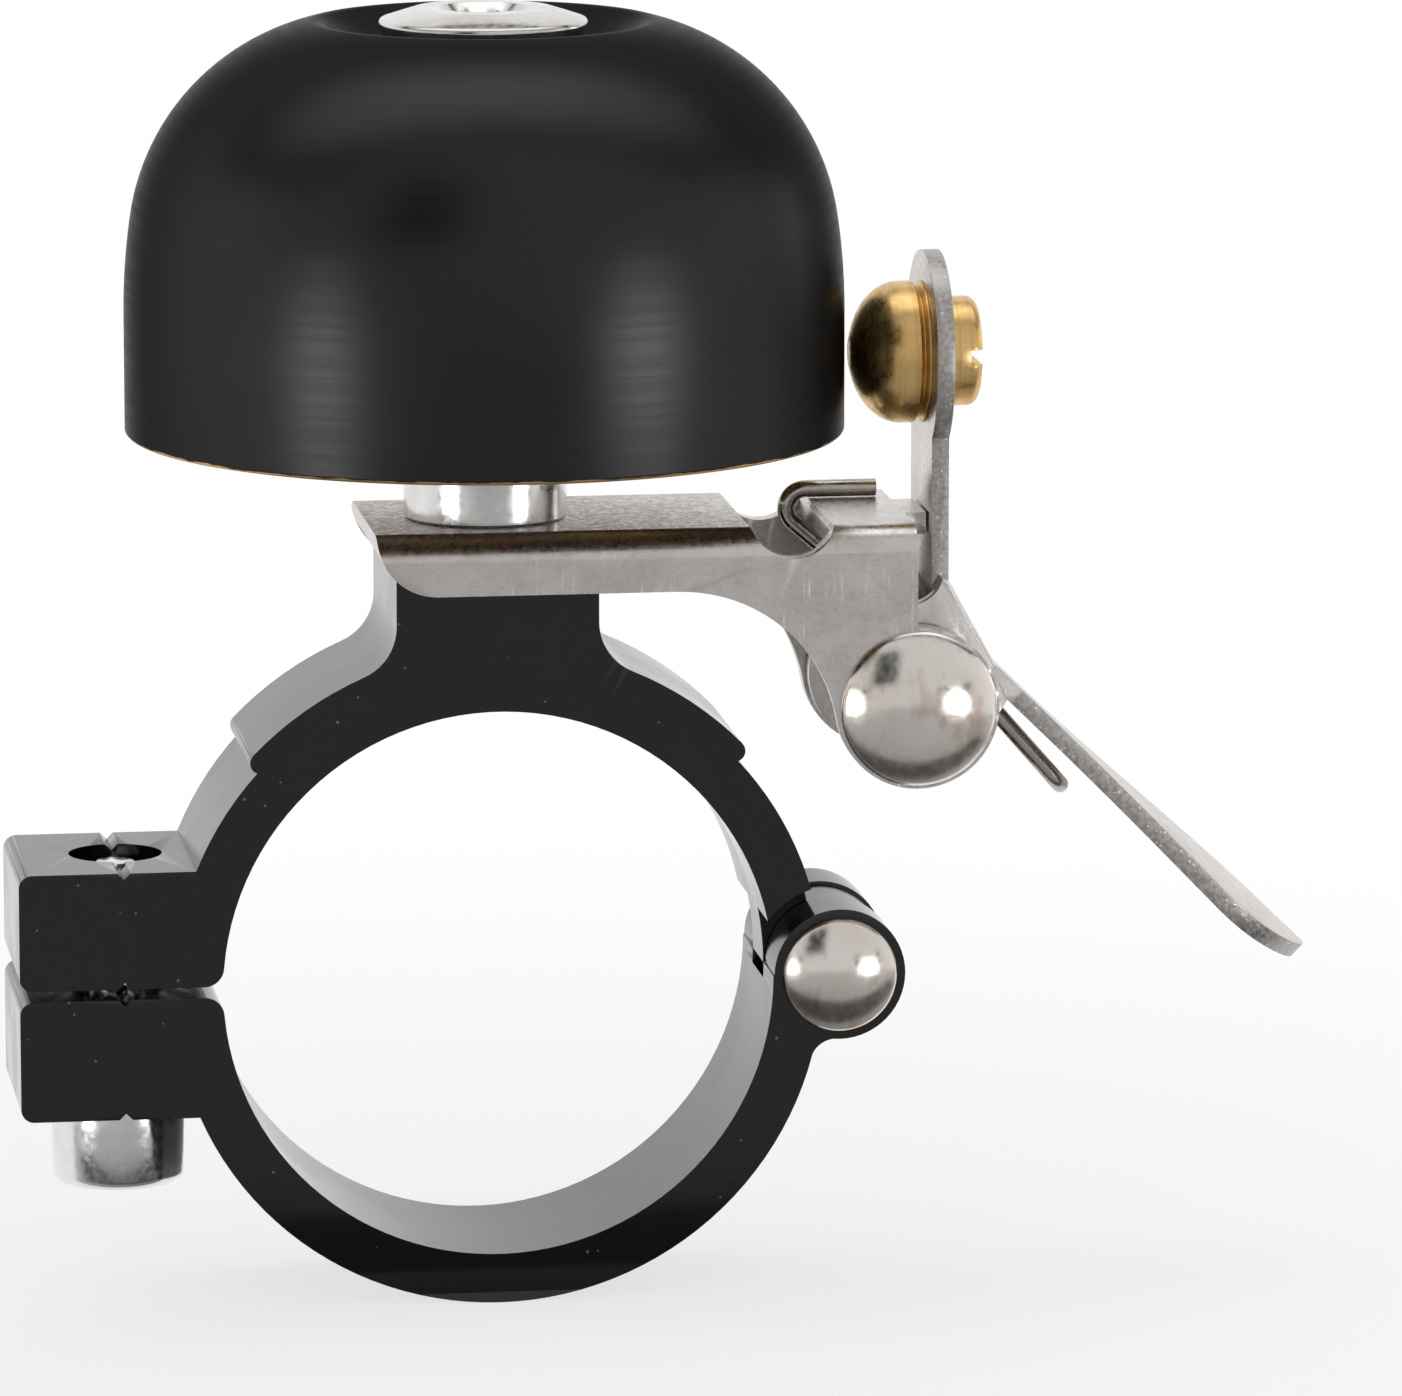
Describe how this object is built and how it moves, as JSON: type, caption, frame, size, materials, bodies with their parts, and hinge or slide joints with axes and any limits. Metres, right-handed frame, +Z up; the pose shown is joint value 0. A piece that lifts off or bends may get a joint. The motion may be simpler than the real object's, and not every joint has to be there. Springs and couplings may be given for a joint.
{
  "type": "bicycle bell",
  "caption": "Handlebar bell: a domed bell on a hinged clamp, rung by a sprung thumb lever that carries a brass hammer.",
  "frame": {"origin": "on the handlebar's axis, midway along the clamp's width", "axes": "+Y along the handlebar, away from the side with the domed rivet heads; +Z up through the dome; +X out to the striker lever"},
  "size_m": [0.0601, 0.033, 0.0595],
  "materials": {
    "clamp_black": "gloss black coating",
    "bright_screw": "bright nickel plating",
    "nickel_rivet": "polished warm nickel plating",
    "nickel_sheet": "nickel-plated stamped sheet, finely grained",
    "nylon": "natural nylon",
    "dome_black": "satin black over brass",
    "spring_wire": "drawn spring wire",
    "turned_brass": "turned and polished"
  },
  "bodies": {
    "root": {"clamp_upper": "clamp_black", "hinge_rivet": "nickel_rivet", "striker_bracket": "nickel_sheet", "spacer": "bright_screw", "isolating_washer": "nylon", "bell_dome": "dome_black", "dome_bolt": "bright_screw", "pivot_sleeve": "bright_screw", "pivot_rivet": "nickel_rivet", "torsion_spring": "spring_wire"},
    "striker": {"striker_lever": "nickel_sheet", "hammer": "turned_brass", "hammer_screw": "turned_brass"},
    "clamp_lower": {"clamp_lower": "clamp_black"},
    "clamp_screw": {"clamp_screw": "bright_screw"}
  },
  "joints": [
    {"name": "striker_pivot", "type": "hinge", "parent": "root", "child": "striker", "pos_m": [0.01925, 0, 0.01257], "axis": [0, 1, 0], "range_deg": [0, 30], "stiffness_Nm_per_rad": 0.12, "springref_deg": -14.32, "deforming": ["torsion_spring"]},
    {"name": "clamp_hinge", "type": "hinge", "parent": "root", "child": "clamp_lower", "pos_m": [0.0158, 0, 0], "axis": [0, -1, 0], "range_deg": [0, 80]},
    {"name": "screw_out", "type": "slide", "parent": "clamp_lower", "child": "clamp_screw", "axis": [0, 0, -1], "range_m": [0, 0.01]}
  ],
  "couplings": [
    {"joint": "screw_out", "follows": "clamp_hinge", "m_per_rad": 0.007}
  ]
}
